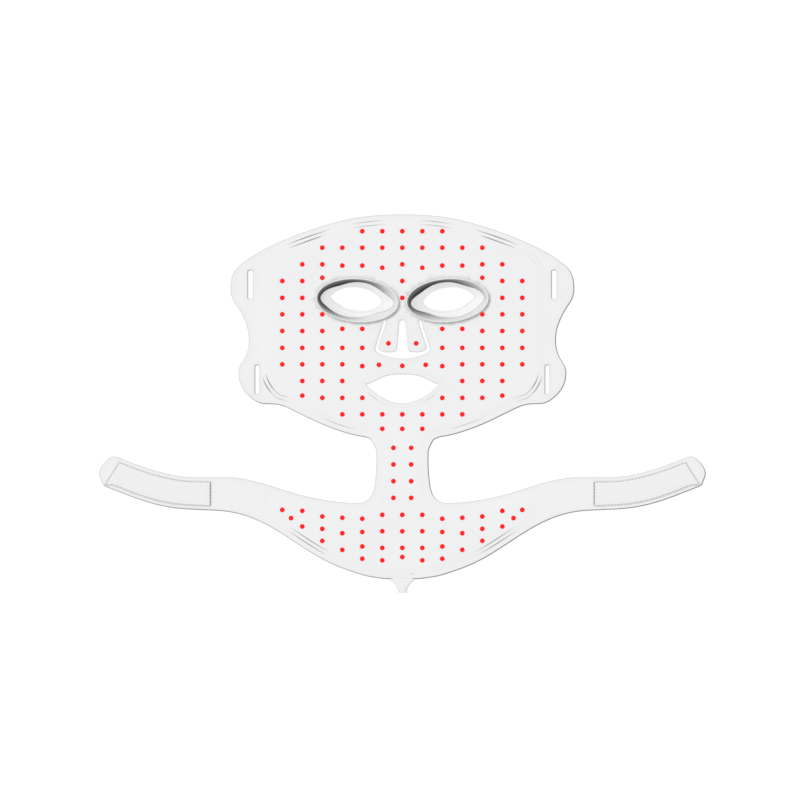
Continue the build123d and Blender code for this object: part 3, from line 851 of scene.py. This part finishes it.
def open_points(outlines, loops):
    """Points of an even grid that keep clear of every outline and loop."""
    every = np.concatenate([*outlines, *loops])
    tree = KDTree(len(every))
    for i, point in enumerate(every):
        tree.insert((*point, 0), i)
    tree.balance()
    low, high = every.min(0), every.max(0)
    found = []
    for x in np.arange(low[0], high[0], OPEN_STEP):
        for y in np.arange(low[1], high[1], OPEN_STEP):
            if tree.find((x, y, 0))[2] > OPEN_STEP / 2:
                found.append((x, y))
    return found


def flat_polygons(faces):
    """Vertices and polygons of faces in the plane."""
    vertices = []
    polygons = []
    for face in faces:
        polygons.append(list(range(len(vertices), len(vertices) + len(face))))
        vertices += [(x, y, 0) for x, y in face]
    return vertices, polygons


def bend(piece):
    """The piece's placement, baked into its mesh."""
    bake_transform(piece)


# ---- LEDs and circuits ----


def led_lenses(node, body, material):
    """The clear windows of one body, each a low dome over its LED."""
    centres = led_centres(node)
    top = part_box(node)[1][2]
    profile = [(1, CHIP_TOP), (1, top - 0.12 * MM)]
    profile += [(math.cos(t), top - 0.05 * MM + LENS_RISE * math.sin(t)) for t in np.linspace(0.15, 1.4, 6)]
    vertices = []
    faces = []
    rim = []
    for centre in centres:
        first = len(vertices)
        for share, height in profile:
            vertices += [(x, y, height) for x, y in circle(centre, LENS_RADIUS * share)]
            rim += [share] * LENS_SEGMENTS
        for row in range(len(profile) - 1):
            for k in range(LENS_SEGMENTS):
                a = first + row * LENS_SEGMENTS + k
                b = first + row * LENS_SEGMENTS + (k + 1) % LENS_SEGMENTS
                faces.append([a, b, b + LENS_SEGMENTS, a + LENS_SEGMENTS])
        last = first + (len(profile) - 1) * LENS_SEGMENTS
        vertices.append((*centre, top - 0.05 * MM + LENS_RISE))
        rim.append(0)
        faces += [[last + k, last + (k + 1) % LENS_SEGMENTS, len(vertices) - 1] for k in range(LENS_SEGMENTS)]
        faces.append([first + k for k in reversed(range(LENS_SEGMENTS))])
    piece = new_piece(node.replace("window", "lens"), vertices, faces, material, "led_window", rim=rim)
    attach(piece, body)
    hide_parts(node)


def folding_circuit(web, material):
    """The circuit that crosses a fold, cut finely across it."""
    node = FOLDS[web][3]
    start, end, _ = fold_span(web)
    work = bmesh.new()
    work.from_mesh(nodes[node].data)
    bmesh.ops.remove_doubles(work, verts=work.verts, dist=1e-6)
    steps = max(4, round(np.linalg.norm(end - start) / FOLD_STEP))
    way = (*(end - start), 0)
    for k in range(steps + 1):
        spot = (*(start + (end - start) * k / steps), 0)
        everything = work.verts[:] + work.edges[:] + work.faces[:]
        bmesh.ops.bisect_plane(work, geom=everything, plane_co=spot, plane_no=way, dist=1e-7)
    mesh = bpy.data.meshes.new(f"{node}_flex")
    work.to_mesh(mesh)
    work.free()
    mesh.materials.clear()
    mesh.materials.append(material)
    piece = bpy.data.objects.new(mesh.name, mesh)
    bpy.context.collection.objects.link(piece)
    bend(piece)
    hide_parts(node)


# ---- Eye gaskets, boot and patches ----


def eye_gasket(eye, side, material):
    """Soft gasket round one eye, as rings from its seat over the crest and down to the opening."""
    crest_outside = eye.crest + CREST_HALF
    crest_inside = eye.crest - CREST_HALF
    crest_base = eye.top - CREST_HALF
    # Each ring: distance, height, a greyer tone that is painted shade at the outer wall's foot and in the
    # lip's dips, and how far down the inner wall it lies
    rings = [
        (eye.seat - 0.08 * MM, COVER_TOP, 0, 0),
        (eye.seat - 0.08 * MM, FIELD_TOP - 0.05 * MM, 0, 0),
        (crest_outside + 0.7 * MM, FIELD_TOP - 0.05 * MM, 0.5, 0),
        (crest_outside + 0.5 * MM, FIELD_TOP + 0.12 * MM, 0.5, 0),
    ]
    for t in np.linspace(0.15, 1, 6):
        height = FIELD_TOP + (crest_base - FIELD_TOP) * t
        rings.append((crest_outside + 0.35 * MM * (1 - t) ** 2, height, 0, 0))
    for turn in np.linspace(0, math.pi, 9)[1:-1]:
        reach = eye.crest + CREST_HALF * math.cos(turn)
        rings.append((reach, crest_base + CREST_HALF * math.sin(turn), 0, 0))
    wall_foot = eye.rim_foot + 0.30 * MM
    for t in np.linspace(0, 1, 12):
        height = crest_base + (eye.lip - crest_base) * t
        rings.append((crest_inside + (wall_foot - crest_inside) * t, height, 0, 1 - (1 - t) ** 1.8))
    for offset, height, painted_groove_shade in GASKET_BEAD:
        rings.append((eye.rim_foot + offset, eye.lip + height, painted_groove_shade, 0))
    for offset, height, painted_groove_shade in GASKET_LIP:
        rings.append((eye.opening + offset, eye.lip + height, painted_groove_shade, 0))
    rings.append((eye.opening, COVER_TOP, 0.6, 0))

    # Painted shade on inner walls that turn away from the light, darkest at their foot
    turns = np.arange(eye.COUNT) * 2 * math.pi / eye.COUNT - math.pi
    radii = np.array(SEAT_SHAPE)
    facing = np.stack([np.cos(turns) / radii[0], np.sin(turns) / radii[1]], 1)
    facing /= np.linalg.norm(facing, axis=1)[:, None]
    shaded = smoothstep((facing @ LIGHT_WAY + 0.85) / 1.7)

    vertices = []
    edge = []
    crease = []
    faces = []
    for reach, height, painted_groove_shade, wall in rings:
        vertices += [(x, y, height) for x, y in eye.ring(reach)]
        edge += [painted_groove_shade] * eye.COUNT
        tone = (1 - shaded) * wall**1.5 + shaded * (0.68 + 0.32 * wall)
        crease += list(shaded**0.6 * tone * (wall > 0))
    for row in range(len(rings)):
        after = (row + 1) % len(rings)
        for k in range(eye.COUNT):
            following = (k + 1) % eye.COUNT
            a, b = row * eye.COUNT + k, row * eye.COUNT + following
            c, d = after * eye.COUNT + following, after * eye.COUNT + k
            faces.append([a, b, c, d])
    wear_and_painted_shade = {"edge": edge, "crease": crease}
    piece = new_piece(f"{side}_gasket", vertices, faces, material, "gasket_silicone", **wear_and_painted_shade)
    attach(piece, "face")
    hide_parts(eye.node)


def lead_boot(material):
    """Moulded boot at the collar's lower edge: flared at its root, with the lead's bore at its tip."""
    low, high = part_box("cable_boot")
    height = high[2] / 2
    root_half, tip_half = high[0], 4.0 * MM
    bore, bore_depth = 1.9 * MM, 8.0 * MM
    segments = 40
    reach = high[1] + 1.2 * MM - low[1]
    rings = []
    for t in np.linspace(0, 1, 15):
        y = high[1] + 1.2 * MM - reach * t
        half = tip_half + (root_half - tip_half) * (1 - t) ** 2.4
        thick = BORDER_TOP / 2 * (1 - t) + height * t
        groove = 0.25 * MM * (0.5 - 0.5 * math.cos(t * 6 * math.pi)) if t > 0.66 else 0
        middle = height if t > 0.5 else thick
        rings.append((y, half - groove, min(thick, height) - groove, middle, 2 + 3 * (1 - t)))
    end = low[1]
    rings.append((end, tip_half - 0.5 * MM, height - 0.5 * MM, height, 2))
    rings.append((end, bore, bore, height, 2))
    rings.append((end + bore_depth, bore, bore, height, 2))
    vertices = []
    for y, half, thick, middle, power in rings:
        for k in range(segments):
            turn = 2 * math.pi * k / segments
            x = half * math.copysign(abs(math.cos(turn)) ** (2 / power), math.cos(turn))
            z = thick * math.copysign(abs(math.sin(turn)) ** (2 / power), math.sin(turn))
            vertices.append((x, y, max(middle + z, 0)))
    faces = []
    for row in range(len(rings) - 1):
        for k in range(segments):
            a, b = row * segments + k, row * segments + (k + 1) % segments
            faces.append([a, b, b + segments, a + segments])
    faces.append(list(reversed(range(segments))))
    faces.append([len(vertices) - segments + k for k in range(segments)])
    wear_and_painted_shade = {"edge": [0.15] * len(vertices), "crease": [0] * len(vertices)}
    piece = new_piece("lead_boot", vertices, faces, material, "sheet_silicone", **wear_and_painted_shade)
    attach(piece, "collar")
    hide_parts("cable_boot")


def hook_and_loop(side, material, thread):
    """One hook-and-loop patch, and the stitches that hold it to the tab."""
    node = f"{side}_hook_and_loop_patch"
    low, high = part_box(node)
    outline = smooth_loop(boundary_loops([node], high[2])[0], EDGE_STEP, fillet=1.6 * MM)
    rings = [inset(outline, PATCH_ROUND * share) for share in (0.08, 0.3, 0.6, 1)]
    rings += [inset(outline, SEAM + 0.3 * MM * k) for k in (0, 1)]
    plan = Plan([outline], rings, (), open_points([outline], rings))
    edge, outward, _ = nearest_edge(plan.points, [outline])
    square_end = (np.abs(outward[:, 0]) > 0.98) & (np.abs(plan.points[:, 0]) < SQUARE_END)
    # Painted shade along the patch's edges, darkest along its square end
    rim = dip(edge - 0.3 * MM, 0.5 * MM) * np.where(square_end, SQUARE_END_TONE, PATCH_EDGE_TONE)
    top = high[2] - 0.15 * MM - rounding(edge, PATCH_ROUND) - SEAM_DEPTH * dip(edge - SEAM, PATCH_ROUND)
    bottom = np.full(len(plan.points), low[2] - 0.02 * MM)
    every = range(len(plan.triangles))
    piece = slab(f"{side}_patch", plan, every, top, bottom, material, "hook_and_loop", crease=rim)
    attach(piece, f"{side}_tab")
    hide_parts(node)

    line = inset(outline, SEAM)
    stitches = stitch_row(f"{side}_patch_stitches", line, high[2] - 0.22 * MM, thread)
    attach(stitches, f"{side}_tab")


def stitch_row(name, line, height, material, pitch=2.6 * MM, length=2.1 * MM, radius=0.2 * MM):
    """Stitches along a closed line: short round threads whose ends dip into the fabric."""
    ahead = np.roll(line, -1, 0) - line
    gaps = np.linalg.norm(ahead, axis=1)
    places = np.concatenate([[0], np.cumsum(gaps)])
    closed = np.vstack([line, line[:1]])
    count = round(places[-1] / pitch)
    vertices = []
    faces = []
    sides = 8
    for number in range(count):
        start = places[-1] * number / count
        first = len(vertices)
        stations = np.linspace(0, 1, 7)
        for share in stations:
            at = start + length * share
            spot, later = (
                np.array([np.interp(place % places[-1], places, closed[:, axis]) for axis in (0, 1)])
                for place in (at, at + 0.1 * MM)
            )
            way = (later - spot) / np.linalg.norm(later - spot)
            arch = 0.22 * MM * math.sin(math.pi * share) - 0.08 * MM
            thick = radius * (0.45 + 0.55 * math.sin(math.pi * share) ** 0.5)
            for k in range(sides):
                turn = 2 * math.pi * k / sides
                across = math.cos(turn) * thick
                level = height + arch + math.sin(turn) * thick
                vertices.append((spot[0] - way[1] * across, spot[1] + way[0] * across, level))
        for row in range(len(stations) - 1):
            for k in range(sides):
                a, b = first + row * sides + k, first + row * sides + (k + 1) % sides
                faces.append([a, a + sides, b + sides, b])
        faces.append([first + k for k in range(sides)])
        faces.append([len(vertices) - sides + k for k in reversed(range(sides))])
    return new_piece(name, vertices, faces, material, "hook_and_loop")


# ---- Floor, light and camera ----

FLOOR_REACH = 4
FLOOR_LEVEL = -0.3 * MM
FLOOR_GLOW = 0.78
KEY_ENERGY = 1.50
KEY_ANGLE = math.radians(22)
SKY = (0.66, 0.66, 0.665)
VIEW_WIDTH = 0.64
CAMERA_PLACE = (-0.00184, 0.00268, 1.5)


def studio():
    """White floor, soft key light from the upper left, pale sky, and a camera straight above."""
    floor_mesh = bpy.data.meshes.new("floor")
    square = ((-1, -1), (1, -1), (1, 1), (-1, 1))
    corners = [(x * FLOOR_REACH, y * FLOOR_REACH, FLOOR_LEVEL) for x, y in square]
    floor_mesh.from_pydata(corners, [], [(0, 1, 2, 3)])
    shader = Shader("white_floor", Roughness=0.9, Specular_IOR_Level=0.0)
    shader.feed("Base Color", shader.ramp(shader.noise(3, 2), (0.30, 0.30, 0.30), (0.31, 0.31, 0.31)))
    shader.main.inputs["Emission Color"].default_value = (1, 1, 1, 1)
    shader.main.inputs["Emission Strength"].default_value = FLOOR_GLOW
    floor_mesh.materials.append(shader.material)
    floor = bpy.data.objects.new("floor", floor_mesh)
    bpy.context.collection.objects.link(floor)

    key = bpy.data.lights.new("key", "SUN")
    key.energy = KEY_ENERGY
    key.angle = KEY_ANGLE
    lamp = bpy.data.objects.new("key", key)
    lamp.rotation_euler = Vector(LIGHT_FROM).to_track_quat("Z", "Y").to_euler()
    bpy.context.collection.objects.link(lamp)

    world = bpy.data.worlds.new("studio")
    world.use_nodes = True
    tree = world.node_tree
    background = tree.nodes["Background"]
    seen = tree.nodes.new("ShaderNodeBackground")
    seen.inputs["Color"].default_value = (1, 1, 1, 1)
    background.inputs["Color"].default_value = (*SKY, 1)
    path = tree.nodes.new("ShaderNodeLightPath")
    mix = tree.nodes.new("ShaderNodeMixShader")
    tree.links.new(path.outputs["Is Camera Ray"], mix.inputs[0])
    tree.links.new(background.outputs[0], mix.inputs[1])
    tree.links.new(seen.outputs[0], mix.inputs[2])
    tree.links.new(mix.outputs[0], tree.nodes["World Output"].inputs["Surface"])
    bpy.context.scene.world = world

    camera_data = bpy.data.cameras.new("camera")
    camera_data.type = "ORTHO"
    camera_data.ortho_scale = VIEW_WIDTH
    camera = bpy.data.objects.new("camera", camera_data)
    camera.location = CAMERA_PLACE
    bpy.context.collection.objects.link(camera)
    bpy.context.scene.camera = camera
    bpy.context.scene.view_settings.view_transform = "Standard"


silicone = silicone_material()
circuit = circuit_material()
lens = lens_material()
eyes = [Eye(side) for side, _ in SIDES]
centres = [centre for node in WINDOWS for centre in led_centres(node)]

sheet_pieces(silicone, centres, eyes)
for node, body in WINDOWS.items():
    led_lenses(node, body, lens)
for web in FOLDS:
    if FOLDS[web][3]:
        folding_circuit(web, circuit)
for slot in nodes["face_led_board"].material_slots:
    slot.material = circuit
soft = gasket_material()
for eye, (side, _) in zip(eyes, SIDES):
    eye_gasket(eye, side, soft)
lead_boot(silicone)
fabric = patch_material()
thread = thread_material()
for side, _ in SIDES:
    hook_and_loop(side, fabric, thread)
studio()
